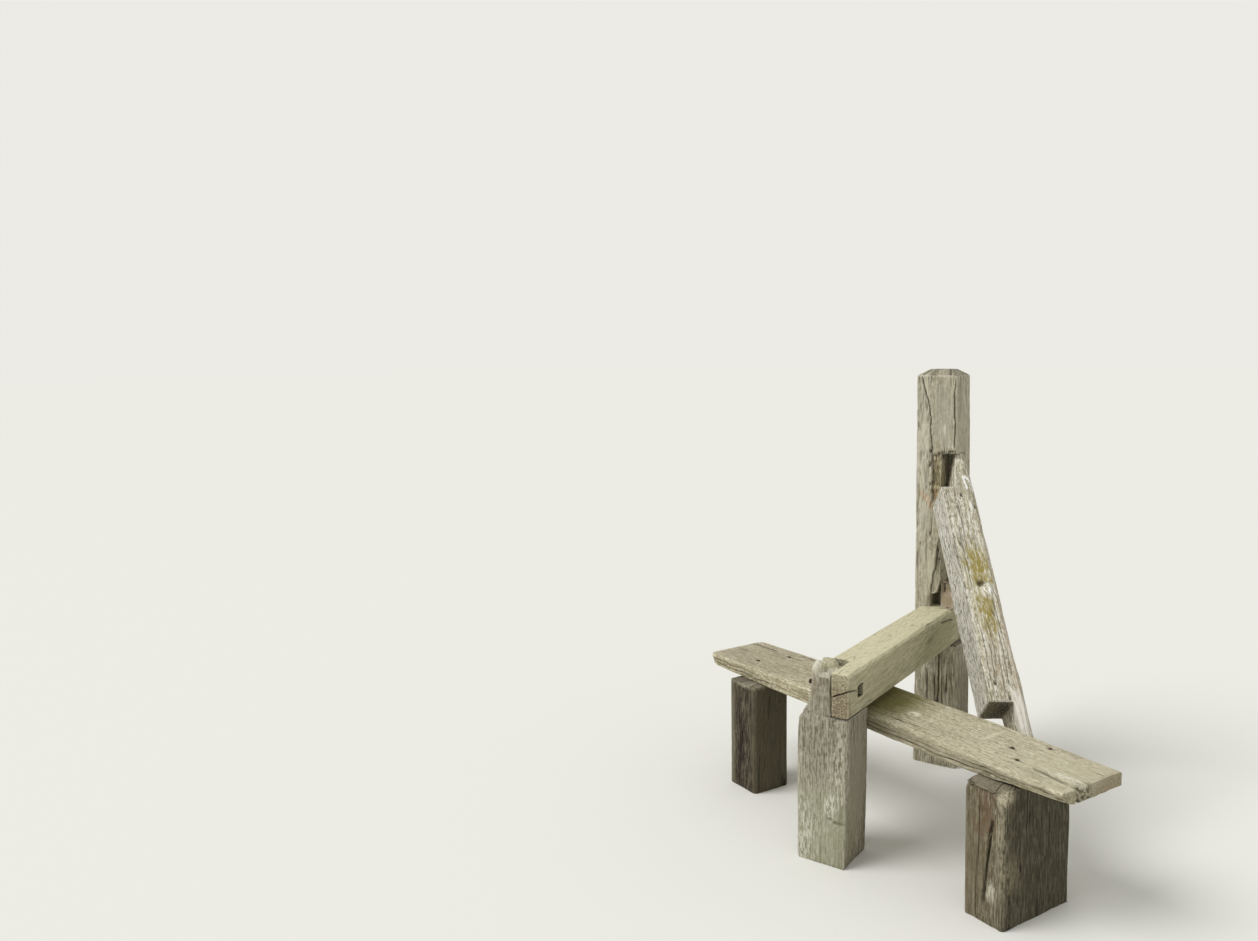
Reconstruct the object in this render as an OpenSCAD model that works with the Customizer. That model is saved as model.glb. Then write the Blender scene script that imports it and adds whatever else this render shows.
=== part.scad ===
/* [Tall post] */
// Width of the tall post's top across the rail
tall_w = 115; // [100:1:140]
// Width that the tall post's right side gains from its top down to the ground
tall_flare = 11; // [0:1:20]
// Depth of the tall post along the rail
tall_d = 120; // [105:1:140]
// Height of the tall post above the ground
tall_h = 1155; // [1070:5:1300]
// Bevel weathered along the arrises of the tall post
tall_bevel = 3; // [1:1:10]
// Height of the weathered slope round the top of the tall post
tall_crown = 18; // [5:1:30]
// Height of the solid head's underside above the ground
head_z = 915; // [880:5:950]
// Height of the corner rebate below the head
rebate_h = 372; // [340:2:380]
// Width of the corner rebate across the rail
rebate_w = 42; // [34:1:42]
// Depth of the corner rebate along the rail
rebate_d = 70; // [60:1:80]
// Depth to which the face is worn back below the rebate
worn_d = 12; // [4:1:20]
// Gap between the worn face's lower end and the rail
worn_gap = 6; // [2:1:12]
// Width of the mortise for the rail
mortise_w = 30; // [24:1:30]
// Depth of the mortise for the rail
mortise_d = 70; // [60:1:90]
// Height of the mortise left open above the rail
mortise_spare = 38; // [20:1:50]
// Depth of the corner housing that takes the rail's right side
housing_d = 84; // [50:1:95]
// Gap between the housing's back and the rail's end
housing_gap = 2; // [1:0.5:4]

/* [Short post] */
// Width of the short post across the rail
short_w = 130; // [118:1:140]
// Depth of the short post along the rail
short_d = 124; // [114:1:140]
// Distance between the centres of the two posts
post_pitch = 714; // [690:2:760]
// Sideways offset of the short post from the tall one
short_offset = -16; // [-20:1:-12]
// Height of the shoulder that carries the rail
shoulder_z = 360; // [352:1:400]
// Width rotted away from the short post's right side at the ground
foot_in = 8; // [0:1:20]
// Width of the horn at its top
horn_w = 42; // [36:1:50]
// Depth of the horn along the rail
horn_d = 110; // [85:1:110]
// Height of the horn above the shoulder
horn_h = 107; // [95:1:120]
// Fall of the horn's worn top towards its front
horn_fall = 10; // [4:1:16]
// Height of the horn's knee above the shoulder
knee_h = 33; // [24:1:50]
// Width gained by the horn from its top down to its knee
knee_out = 10; // [4:1:16]
// Drop from the shoulder to the lower end of the slope under the knee
haunch_drop = 48; // [30:1:70]
// Bevel weathered along the arrises of the short post
short_bevel = 7; // [2:1:10]

/* [Rail] */
// Width of the rail
rail_w = 95; // [85:1:105]
// Height of the rail
rail_h = 107; // [95:1:120]
// Sideways offset of the rail from the tall post's centre
rail_offset = 4; // [0:1:6]
// Bevel weathered along the long arrises of the rail
rail_bevel = 6; // [2:1:10]
// Width of the rail left standing beside the horn
lap_w = 44; // [36:1:50]
// Gap opened by shrinkage between the rail's lap and the horn
lap_gap = 3.5; // [1:0.5:6]
// Length of the tenon in the tall post
tenon_len = 58; // [45:1:60]
// Height cut away from the tenon at its lower side
tenon_step = 14; // [6:1:24]

/* [Rail bolt] */
// Diameter of the bolt's shank
bolt_d = 12; // [10:1:14]
// Distance of the bolt from the rail's end
bolt_in = 66; // [50:1:80]
// Length of the bolt's end that stands out past the horn's nut
bolt_end = 30; // [10:1:34]
// Width of the bolt's square nuts
nut_w = 20; // [18:1:20]
// Thickness of the bolt's square nuts
nut_t = 11; // [8:1:12]
// Width of the square hole in the rail's side
recess_w = 23; // [22:1:28]
// Height of the square hole in the rail's side
recess_h = 29; // [24:1:36]
// Depth of the square hole in the rail's side
recess_d = 20; // [16:1:24]
// Clearance round the bolt's shank
bolt_gap = 0.3; // [0.2:0.1:1]

/* [Step plank] */
// Length of the step plank
plank_len = 1160; // [1080:5:1200]
// Width of the step plank
plank_w = 205; // [190:1:215]
// Thickness of the step plank at its ends
plank_t = 32; // [28:1:32]
// Thickness that the plank keeps over its middle, where it is less worn
plank_crown = 8; // [0:1:12]
// Height of the step plank's top above the ground at its ends
plank_z = 329; // [310:1:340]
// Turn of the step plank away from square to the rail
plank_turn = 21.5; // [18:0.5:24]
// Position of the plank's near right corner across the rail
plank_x = 530; // [500:5:560]
// Gap between the plank's near edge and the short post
plank_gap = 9; // [5:1:30]
// Radius worn on the plank's left corners
plank_round = 26; // [10:1:40]
// Bevel trodden along the plank's upper edges
tread_bevel = 5; // [2:1:8]
// Length of the split that runs in from the plank's right end
split_len = 85; // [60:5:150]
// Distance of the split from the plank's near edge
split_in = 50; // [40:1:60]
// Width of the split at the plank's end
split_w = 5; // [2:1:8]

/* [Step posts] */
// Width of the right step post along the plank
right_w = 101; // [90:1:115]
// Depth of the right step post across the plank
right_d = 228; // [200:1:235]
// Distance of the right step post from the plank's right end
right_inset = 107; // [90:1:120]
// Distance that the right step post stands out in front of the plank
right_out = 36; // [20:1:45]
// Width of the left step post along the plank
left_w = 110; // [95:1:120]
// Depth of the left step post across the plank
left_d = 118; // [105:1:150]
// Distance of the left step post from the plank's left end
left_inset = 145; // [110:1:160]
// Distance that the left step post stands out in front of the plank
left_out = 36; // [20:1:45]
// Bevel weathered along the arrises of the step posts
step_bevel = 6; // [2:1:10]
// Height chipped away round the front corner of the right step post
chip_h = 14; // [6:1:20]

/* [Brace] */
// Width of the brace's upper face
brace_w = 92; // [86:1:96]
// Thickness of the brace
brace_t = 107; // [94:1:112]
// Length of the brace between its two notches
brace_len = 628; // [620:1:636]
// Lean of the brace from upright
brace_lean = 42; // [41:0.5:43]
// Heading of the brace's foot from the cross direction
brace_heading = -55; // [-56:0.5:-54]
// Position of the brace's lower notch across the rail
brace_x = 282; // [278:1:288]
// Position of the brace's lower notch along the rail
brace_y = -479; // [-484:1:-474]
// Height of the brace's lower notch above the ground
brace_z = 365; // [360:1:370]
// Width left standing beside the upper notch
upper_tongue_w = 54; // [48:1:60]
// Width that the upper tongue loses in each 100 mm up the brace
tongue_taper = 22; // [10:1:30]
// Width left standing beside the lower notch
lower_tongue_w = 32; // [28:1:38]
// Bevel of the bark edge along the brace's right arris
brace_wane = 12; // [6:1:18]

/* [Drying cracks] */
// Width of the widest drying cracks
crack_w = 6; // [3:1:10]
// Depth of the drying cracks
crack_d = 34; // [10:1:40]

/* [Hidden] */
$fn = 48;
over = 1;
big = 400;

oak_pale = "#b8b294";
oak_grey = "#9a927e";
oak_dark = "#6e6652";
iron_rust = "#5a4436";

tall_near = -tall_d / 2;
tall_right = tall_w / 2;
rebate_left = tall_right - rebate_w;
rebate_foot = head_z - rebate_h;
mortise_left = rebate_left - mortise_w;
short_left = short_offset - short_w / 2;
short_right = short_offset + short_w / 2;
short_near = -post_pitch - short_d / 2;
short_far = short_near + short_d;
horn_far = short_near + horn_d;
rail_left = rail_offset - rail_w / 2;
rail_right = rail_offset + rail_w / 2;
rail_top = shoulder_z + rail_h;
rail_far = tall_near + housing_d - housing_gap;
lap_left = rail_right - lap_w;
horn_right = lap_left - lap_gap;
horn_left = horn_right - horn_w;
bolt_y = short_near + bolt_in;
bolt_z = shoulder_z + rail_h / 2;
plank_under = plank_z - plank_t;
plank_y = short_far + plank_gap - (plank_x - short_right) * tan(plank_turn);

// A square stick standing on its base, with bevelled long arrises
module stick(size, bevel) {
    linear_extrude(size[2])
        polygon([
            [bevel, 0], [size[0] - bevel, 0], [size[0], bevel], [size[0], size[1] - bevel],
            [size[0] - bevel, size[1]], [bevel, size[1]], [0, size[1] - bevel], [0, bevel]
        ]);
}

// A drying crack to cut in a face: it opens at Y 0, runs up Z and closes to a point at both ends
module crack(length, width, depth, lean = 0) {
    translate([0, -over, 0])
        rotate([-90, 0, 0])
            linear_extrude(depth + over)
                polygon([
                    [0, 0], [width / 2 + lean * 0.4, -length * 0.4],
                    [lean, -length], [-width / 2 + lean * 0.6, -length * 0.6]
                ]);
}

// Puts what follows on the plank's near right corner, with X running to its left end
module along_plank() {
    translate([plank_x, plank_y, 0])
        rotate(180 - plank_turn)
            mirror([0, 1, 0])
                children();
}

// Puts what follows on the brace's lower notch, with Z running up the brace
module along_brace() {
    translate([brace_x, brace_y, brace_z])
        rotate([0, 0, brace_heading])
            rotate([0, -brace_lean, 0])
                children();
}

// The tall post as cut, with its corner taken away below the solid head
module tall_post_body() {
    difference() {
        hull()
            for (size = [[tall_w, tall_d, tall_h], [tall_w + tall_flare, tall_d, 1]])
                translate([-tall_w / 2, tall_near, 0])
                    stick(size, tall_bevel);
        translate([rebate_left, tall_near - over, rebate_foot])
            cube([rebate_w + tall_flare, rebate_d + over, rebate_h]);
        translate([rebate_left, tall_near - over, shoulder_z])
            cube([rebate_w + tall_flare, housing_d + over, rail_h]);
    }
}

// The four slopes weathered round the top of a post
module crown_cuts(w, d, h, crown) {
    for (side = [0:3]) {
        reach = (side % 2 == 0) ? d : w;
        rotate(90 * side)
            translate([0, -reach / 2, h - crown])
                rotate([32, 0, 0])
                    translate([-big / 2, -over, 0])
                        cube([big, big, big]);
    }
}

// The mortise, whose upper side has broken out towards the rebate
module mortise() {
    floor_z = shoulder_z + tenon_step;
    translate([0, tall_near - over, 0])
        rotate([90, 0, 0])
            mirror([0, 0, 1])
                linear_extrude(mortise_d + over)
                    polygon([
                        [mortise_left, floor_z], [rebate_left, floor_z],
                        [rebate_left, rebate_foot + over],
                        [rebate_left - mortise_w / 3, rail_top + mortise_spare * 1.1],
                        [mortise_left, rail_top + mortise_spare]
                    ]);
}

module tall_post() {
    color(oak_grey)
        difference() {
            tall_post_body();
            crown_cuts(tall_w, tall_d, tall_h, tall_crown);
            mortise();
            translate([rebate_left, tall_near - over, rail_top + worn_gap])
                cube([rebate_w + tall_flare, worn_d + over, rebate_foot - rail_top]);
            translate([mortise_left + 2, tall_near, head_z + 5])
                crack(225, crack_w * 0.6, crack_d, -26);
            translate([mortise_left - 5, tall_near, head_z - 80])
                crack(290, crack_w * 0.5, crack_d, 3);
            translate([-tall_w / 2, 14, 240])
                rotate(-90)
                    crack(620, crack_w * 0.6, crack_d, 9);
            translate([18, -tall_near, 150])
                rotate(180)
                    crack(540, crack_w * 0.7, crack_d, -8);
        }
}

// Outline of the short post from the front: shaft, sloping haunch, knee and horn
module short_post_outline() {
    polygon([
        [short_left, 0], [short_right - foot_in, 0], [short_right, shoulder_z * 0.6],
        [short_right, shoulder_z], [horn_right, shoulder_z], [horn_right, shoulder_z + horn_h],
        [horn_left, shoulder_z + horn_h], [horn_left - knee_out, shoulder_z + knee_h],
        [short_left + knee_out / 2, shoulder_z - haunch_drop / 3], [short_left, shoulder_z - haunch_drop]
    ]);
}

module short_post() {
    color(oak_pale)
        difference() {
            intersection() {
                translate([0, short_far, 0])
                    rotate([90, 0, 0])
                        linear_extrude(short_d)
                            short_post_outline();
                translate([short_left, short_near, 0])
                    stick([short_w, short_d, shoulder_z + horn_h], short_bevel);
            }
            // the ledge behind the horn
            translate([short_left - over, horn_far, shoulder_z])
                cube([short_w + 2 * over, short_d, horn_h + over]);
            // the worn top, which falls to the front
            translate([0, horn_far, shoulder_z + horn_h])
                rotate([atan(horn_fall / horn_d), 0, 0])
                    translate([-big / 2, -big, 0])
                        cube([big, big, big]);
            // the pocket rotted beside the rail
            translate([horn_right, horn_far - horn_d / 4, shoulder_z + horn_h])
                rotate([0, 20, 0])
                    cylinder(h = knee_h, d = horn_w / 3, center = true);
            // the bolt's hole and the flat seat of its nut
            translate([horn_left - knee_out - over, bolt_y, bolt_z])
                rotate([0, 90, 0])
                    cylinder(h = horn_w + knee_out + 2 * over, d = bolt_d + 2 * bolt_gap);
            translate([horn_left - knee_out - over, bolt_y - recess_w / 2, bolt_z - recess_h / 2])
                cube([knee_out + over, recess_w, recess_h]);
            translate([short_offset + 12, short_far, 50])
                rotate(180)
                    crack(260, crack_w * 0.6, crack_d, 8);
            translate([short_right, short_near + short_d * 0.55, 150])
                rotate(90)
                    crack(190, crack_w * 0.5, crack_d, -5);
        }
}

module rail() {
    lower = shoulder_z + tenon_step;
    color(oak_pale)
        difference() {
            union() {
                difference() {
                    translate([rail_left, rail_far, shoulder_z])
                        rotate([90, 0, 0])
                            stick([rail_w, rail_h, rail_far - short_near], rail_bevel);
                    // only the rail's right side goes on into the housing
                    translate([rail_left - over, tall_near, shoulder_z - over])
                        cube([rebate_left - rail_left + over, big, rail_h + 2 * over]);
                }
                translate([mortise_left, tall_near - over, lower])
                    cube([mortise_w, tenon_len + over, rail_top - lower]);
            }
            // the lap that holds the horn
            translate([rail_left - over, short_near - over, shoulder_z - over])
                cube([lap_left - rail_left + over, horn_d + over, rail_h + 2 * over]);
            // the bolt's hole and the square hole that takes its nut
            translate([lap_left - over, bolt_y, bolt_z])
                rotate([0, 90, 0])
                    cylinder(h = rail_w, d = bolt_d + 2 * bolt_gap);
            translate([rail_right - recess_d, bolt_y - recess_w / 2, bolt_z - recess_h / 2])
                cube([recess_d + over, recess_w, recess_h]);
            // the crack across the end grain
            translate([lap_left - over, short_near, bolt_z - 6])
                rotate([0, 82, 0])
                    crack(lap_w * 1.5, crack_w * 0.5, crack_d);
            translate([rail_offset + 6, short_near + horn_d + 90, rail_top])
                rotate([-90, 0, 0])
                    crack(360, crack_w * 0.5, crack_d * 0.5, -7);
        }
}

module rail_bolt() {
    shank = bolt_end + 2 * nut_t + rail_right - recess_d - horn_left + bolt_d / 4;
    color(iron_rust) {
        translate([horn_left - nut_t - bolt_end, bolt_y, bolt_z])
            rotate([0, 90, 0])
                cylinder(h = shank, d = bolt_d);
        for (x = [horn_left - nut_t, rail_right - recess_d])
            translate([x, bolt_y - nut_w / 2, bolt_z - nut_w / 2])
                cube([nut_t, nut_w, nut_w]);
    }
}

// Outline of the plank from above, worn round at its left end and waney along its far edge
module plank_outline() {
    hull() {
        square([over, plank_w]);
        for (y = [plank_round, plank_w - plank_round])
            translate([plank_len - plank_round, y])
                circle(plank_round);
    }
}

// A slice across the plank at a distance from its right end, with both upper edges trodden off
module plank_slice(x, top) {
    translate([x, 0, 0])
        rotate([90, 0, 90])
            linear_extrude(over)
                polygon([
                    [-over, plank_under - over], [plank_w + over, plank_under - over],
                    [plank_w + over, top - tread_bevel - over], [plank_w - tread_bevel, top],
                    [tread_bevel, top], [-over, top - tread_bevel - over]
                ]);
}

module step_plank() {
    slices = [
        [-over, plank_z], [plank_len * 0.3, plank_z + plank_crown],
        [plank_len * 0.7, plank_z + plank_crown], [plank_len, plank_z]
    ];
    color(oak_pale)
        along_plank()
            difference() {
                intersection() {
                    translate([0, 0, plank_under])
                        linear_extrude(plank_t + plank_crown)
                            plank_outline();
                    for (i = [0:2])
                        hull()
                            for (slice = [slices[i], slices[i + 1]])
                                plank_slice(slice[0], slice[1]);
                }
                // the split at the right end
                translate([-over, split_in - split_w / 2, plank_under - over])
                    linear_extrude(plank_t + plank_crown + 2 * over)
                        polygon([[0, 0], [split_len, split_w * 1.5], [0, split_w]]);
            }
}

module right_step_post() {
    color(oak_dark)
        along_plank()
            difference() {
                translate([right_inset, -right_out, 0])
                    stick([right_w, right_d, plank_under], step_bevel);
                // the chipped front corner
                translate([right_inset, -right_out, plank_under - chip_h])
                    rotate([0, 0, -45])
                        rotate([35, 0, 0])
                            translate([-big / 2, -over, 0])
                                cube([big, big, big]);
                translate([right_inset + right_w * 0.49, -right_out, 50])
                    crack(plank_under * 0.68, crack_w, crack_d, -22);
                translate([right_inset, right_d * 0.45, 60])
                    rotate(-90)
                        crack(plank_under * 0.6, crack_w * 0.6, crack_d, 4);
            }
}

module left_step_post() {
    color(oak_dark)
        along_plank()
            difference() {
                translate([plank_len - left_inset - left_w, -left_out, 0])
                    stick([left_w, left_d, plank_under], step_bevel);
                translate([plank_len - left_inset - left_w * 0.45, -left_out, 50])
                    crack(plank_under * 0.66, crack_w * 0.6, crack_d, -5);
            }
}

// The brace as sawn: Y runs across its upper face, and X out of that face
module brace_timber() {
    notch_y = brace_w - upper_tongue_w;
    along_brace()
        difference() {
            translate([-brace_t, 0, -brace_len])
                cube([brace_t, brace_w, 3 * brace_len]);
            // the upper notch, whose side slants with the tapering tongue
            translate([over, 0, brace_len])
                rotate([0, -90, 0])
                    linear_extrude(brace_t + 2 * over)
                        polygon([
                            [0, -over], [2 * brace_len, -over],
                            [2 * brace_len, notch_y + tongue_taper * brace_len / 50],
                            [0, notch_y]
                        ]);
            translate([-brace_t - over, -over, -brace_len - over])
                cube([brace_t + 2 * over, brace_w - lower_tongue_w + over, brace_len + over]);
            translate([0, brace_w - brace_wane, -brace_len - over])
                rotate(45)
                    cube([brace_wane * 2, brace_wane * 2, 3 * brace_len + 2 * over]);
        }
}

// The brace's head is cut to the rebate and its foot to the ground and the step post's back
module brace() {
    color(oak_pale)
        difference() {
            intersection() {
                brace_timber();
                translate([-big, -3 * big, 0])
                    cube([3 * big, 3 * big + tall_near + rebate_d, head_z]);
            }
            tall_post_body();
            along_plank()
                translate([-big, -right_out - big, -over])
                    cube([plank_len, right_d + big, plank_under]);
        }
}

tall_post();
short_post();
rail();
rail_bolt();
step_plank();
left_step_post();
right_step_post();
brace();
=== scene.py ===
import math

import bmesh
import bpy
import numpy as np
from mathutils import Matrix, Vector


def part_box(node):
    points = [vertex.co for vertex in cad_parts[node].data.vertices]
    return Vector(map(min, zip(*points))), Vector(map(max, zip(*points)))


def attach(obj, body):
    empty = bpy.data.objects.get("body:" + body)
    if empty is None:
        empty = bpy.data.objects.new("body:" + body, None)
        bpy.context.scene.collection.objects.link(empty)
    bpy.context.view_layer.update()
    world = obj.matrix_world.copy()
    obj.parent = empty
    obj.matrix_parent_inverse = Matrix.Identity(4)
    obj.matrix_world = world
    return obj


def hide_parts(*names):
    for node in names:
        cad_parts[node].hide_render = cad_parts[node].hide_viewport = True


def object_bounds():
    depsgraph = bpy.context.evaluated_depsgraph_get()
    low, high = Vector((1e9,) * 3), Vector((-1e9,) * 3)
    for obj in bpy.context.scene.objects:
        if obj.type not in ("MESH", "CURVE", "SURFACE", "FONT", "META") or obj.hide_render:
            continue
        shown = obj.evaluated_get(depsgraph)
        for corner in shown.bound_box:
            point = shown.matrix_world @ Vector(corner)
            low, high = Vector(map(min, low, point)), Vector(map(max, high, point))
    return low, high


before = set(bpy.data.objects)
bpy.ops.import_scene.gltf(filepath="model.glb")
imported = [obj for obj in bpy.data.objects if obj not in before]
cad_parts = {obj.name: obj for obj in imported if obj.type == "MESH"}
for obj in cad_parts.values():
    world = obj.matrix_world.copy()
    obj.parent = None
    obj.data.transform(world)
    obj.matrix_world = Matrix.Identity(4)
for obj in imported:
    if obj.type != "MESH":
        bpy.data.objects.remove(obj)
cad_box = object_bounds()


# The tall hand post: a squared oak post with a solid head, and below it one corner cut away for the
# brace. Its faces are bare oak, silvered and cracked along the grain, with the mortise for the rail
# broken open at its top.


def upright(x, y, turn=0.0):
    """The frame of a post: X across it, Y through it, and Z up its grain from the ground."""
    place = Matrix.Translation((x, y, 0)) @ Matrix.Rotation(math.radians(turn), 4, "Z")
    return place.inverted()


def drift(points, seed):
    """Smooth random values from -1 to 1, one for each point, with one cell to each unit."""
    cell = np.floor(points).astype(np.int64)
    part = points - cell
    part = part * part * part * (part * (part * 6 - 15) + 10)
    total = np.zeros(len(points))
    for corner in range(8):
        step = np.array([corner & 1, corner >> 1 & 1, corner >> 2 & 1])
        key = (cell + step) @ np.array([73856093, 19349663, 83492791]) + seed * 40503
        key = (key ^ key >> 15) * 73244475 & 0xFFFFFFFF
        key = (key ^ key >> 15) * 73244475 & 0xFFFFFFFF
        key = (key ^ key >> 16) & 0xFFFF
        total += (key / 32767.5 - 1) * np.prod(np.where(step, part, 1 - part), axis=1)
    return total


def ramp(values, low, high):
    """0 at low and below, 1 at high and above, and a smooth rise between."""
    part = np.clip((values - low) / (high - low), 0, 1)
    return part * part * (3 - 2 * part)


def softened(points, edges, rounds):
    """The points of a skin, each moved so many times to the mean of its neighbours, near ones most."""
    pull = 1 / np.maximum(np.sum((points[edges[:, 0]] - points[edges[:, 1]]) ** 2, axis=1), 1e-8)
    weight = np.bincount(edges[:, 0], pull, len(points)) + np.bincount(edges[:, 1], pull, len(points))
    for _ in range(rounds):
        total = np.empty_like(points)
        for axis in range(3):
            total[:, axis] = np.bincount(edges[:, 0], pull * points[edges[:, 1], axis], len(points))
            total[:, axis] += np.bincount(edges[:, 1], pull * points[edges[:, 0], axis], len(points))
        points = total / weight[:, None]
    return points


def weathered_timber(node, grain, pith, seed, fibre=0.0014, stretch=4, worn=0.7,
                     relief=0.0010, warp=0.0016, check=0.007, chips=0.003, sway=0.0022, carve=None):
    """A fine skin over a sawn timber, worn at its arrises, ribbed along the grain and checked.

    The skin's cells are one fibre wide, and stretched along the grain. Relief, warp, check, chips and
    sway are depths in metres, worn is a share, and carve gives the damage of this one timber.
    """
    squeeze = Matrix.Diagonal((1, 1, 1 / stretch, 1)) @ grain
    sawn = bmesh.new()
    sawn.from_mesh(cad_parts[node].data)
    bmesh.ops.remove_doubles(sawn, verts=sawn.verts, dist=1e-5)
    sawn.transform(squeeze)
    mesh = bpy.data.meshes.new(node)
    sawn.to_mesh(mesh)
    sawn.free()
    piece = bpy.data.objects.new(node + "_timber", mesh)
    bpy.context.scene.collection.objects.link(piece)
    remesh = piece.modifiers.new("skin", "REMESH")
    remesh.mode = "VOXEL"
    remesh.voxel_size = fibre
    skin = bpy.data.meshes.new_from_object(piece.evaluated_get(bpy.context.evaluated_depsgraph_get()))
    piece.modifiers.remove(remesh)
    piece.data = skin

    points = np.empty(len(skin.vertices) * 3)
    skin.vertices.foreach_get("co", points)
    points = points.reshape(-1, 3) * (1, 1, stretch)
    edges = np.empty(len(skin.edges) * 2, np.int32)
    skin.edges.foreach_get("vertices", edges)
    soft = softened(points, edges.reshape(-1, 2), rounds=7)
    skin.vertices.foreach_set("co", points.ravel())
    skin.update()
    out = np.empty(len(points) * 3)
    skin.vertex_normals.foreach_get("vector", out)
    out = out.reshape(-1, 3)
    turn = np.array(grain.inverted().to_3x3())
    place = np.array(grain.inverted().translation)
    ground = points @ turn[2] + place[2]
    end = ramp(np.abs(out[:, 2]), 0.6, 0.9)

    # weather rounds the arrises unevenly, and knocks chips out of them
    inward = np.einsum("ij,ij->i", soft - points, out)
    arris = ramp(-inward, 0.00015, 0.0011)
    bite = np.clip(worn + 0.5 * drift(points / (0.018, 0.018, 0.05), seed), 0.1, 1.2)
    moved = points + np.where(inward < 0, bite, 0)[:, None] * (soft - points)
    chipped = arris * ramp(drift(points / (0.016, 0.016, 0.03), seed + 9), 0.15, 0.6)
    depth = chips * chipped

    # nothing on an old timber is quite straight, and every line on it wanders a little
    swayed = np.column_stack([drift(points / (0.05, 0.05, 0.045), seed + 7),
                              drift(points / (0.05, 0.05, 0.045), seed + 8), np.zeros(len(points))]) * sway
    swayed -= out * np.einsum("ij,ij->i", swayed, out)[:, None]
    moved += swayed * (1 - arris)[:, None]

    # broad hollows, then the hard lines of the grain that rain leaves standing
    depth += warp * 0.5 * drift(points / (0.06, 0.06, 0.22), seed + 1)
    ribs = drift(points / (0.0042, 0.0042, 0.16), seed + 2) * 0.6
    ribs += drift(points / (0.009, 0.009, 0.3), seed + 3) * 0.4
    depth -= relief * 0.7 * ribs * (1 - end)

    # drying checks run along the grain, where the heart is boxed in, and open towards the pith
    spoke = points[:, :2] - pith
    spoke /= np.maximum(np.linalg.norm(spoke, axis=1), 1e-4)[:, None]
    line = np.abs(drift(np.column_stack([spoke * 2.6, points[:, 2] * 0.8]), seed + 4))
    patch = drift(np.column_stack([spoke * 1.9, points[:, 2] * 5.0]), seed + 5)
    opened = (1 - ramp(line, 0.0, 0.03)) * ramp(patch, 0.25, 0.55) if check else np.zeros(len(points))
    depth += check * opened
    # the 'check' attribute paints open checks dark, and with a carve's shade also its cracks, holes, gaps
    # and hollows: painted shade in them
    tone = opened * 0.6
    if carve:
        more, shade, lean = carve(points, out)
        depth += more
        moved += lean
        tone = np.clip(tone + shade, 0, 1)
    moved -= out * depth[:, None]
    moved = moved @ turn.T + place
    # nothing stands out past the solids' box, and a post's foot stays flat on the ground
    moved = np.clip(moved, np.array(cad_box[0]), np.array(cad_box[1]))
    moved[:, 2] = np.where(ground < 0.0012, 0.0, moved[:, 2])
    skin.vertices.foreach_set("co", moved.ravel())
    # how far each face looks up, for the paler tops: partly bleaching and partly painted light
    sky = np.clip(out @ turn[2], 0, 1)
    for name, values in (("wear", arris), ("check", tone), ("end", end), ("sky", sky)):
        skin.attributes.new(name, "FLOAT", "POINT").data.foreach_set("value", values)
    skin.shade_smooth()
    skin.update()
    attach(piece, "root")
    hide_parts(node)
    return piece


def linear(code):
    """An sRGB hex colour as the linear colour that a shader takes."""
    parts = [int(code[i:i + 2], 16) / 255 for i in (1, 3, 5)]
    return [c / 12.92 if c <= 0.04045 else ((c + 0.055) / 1.055) ** 2.4 for c in parts] + [1.0]


def add(tree, kind, settings=None, links=None):
    """Adds one node with its settings, and sets or links its inputs."""
    made = tree.nodes.new(kind)
    for name, value in (settings or {}).items():
        setattr(made, name, value)
    for name, value in (links or {}).items():
        if isinstance(value, bpy.types.NodeSocket):
            tree.links.new(value, made.inputs[name])
        else:
            made.inputs[name].default_value = value
    return made


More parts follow.
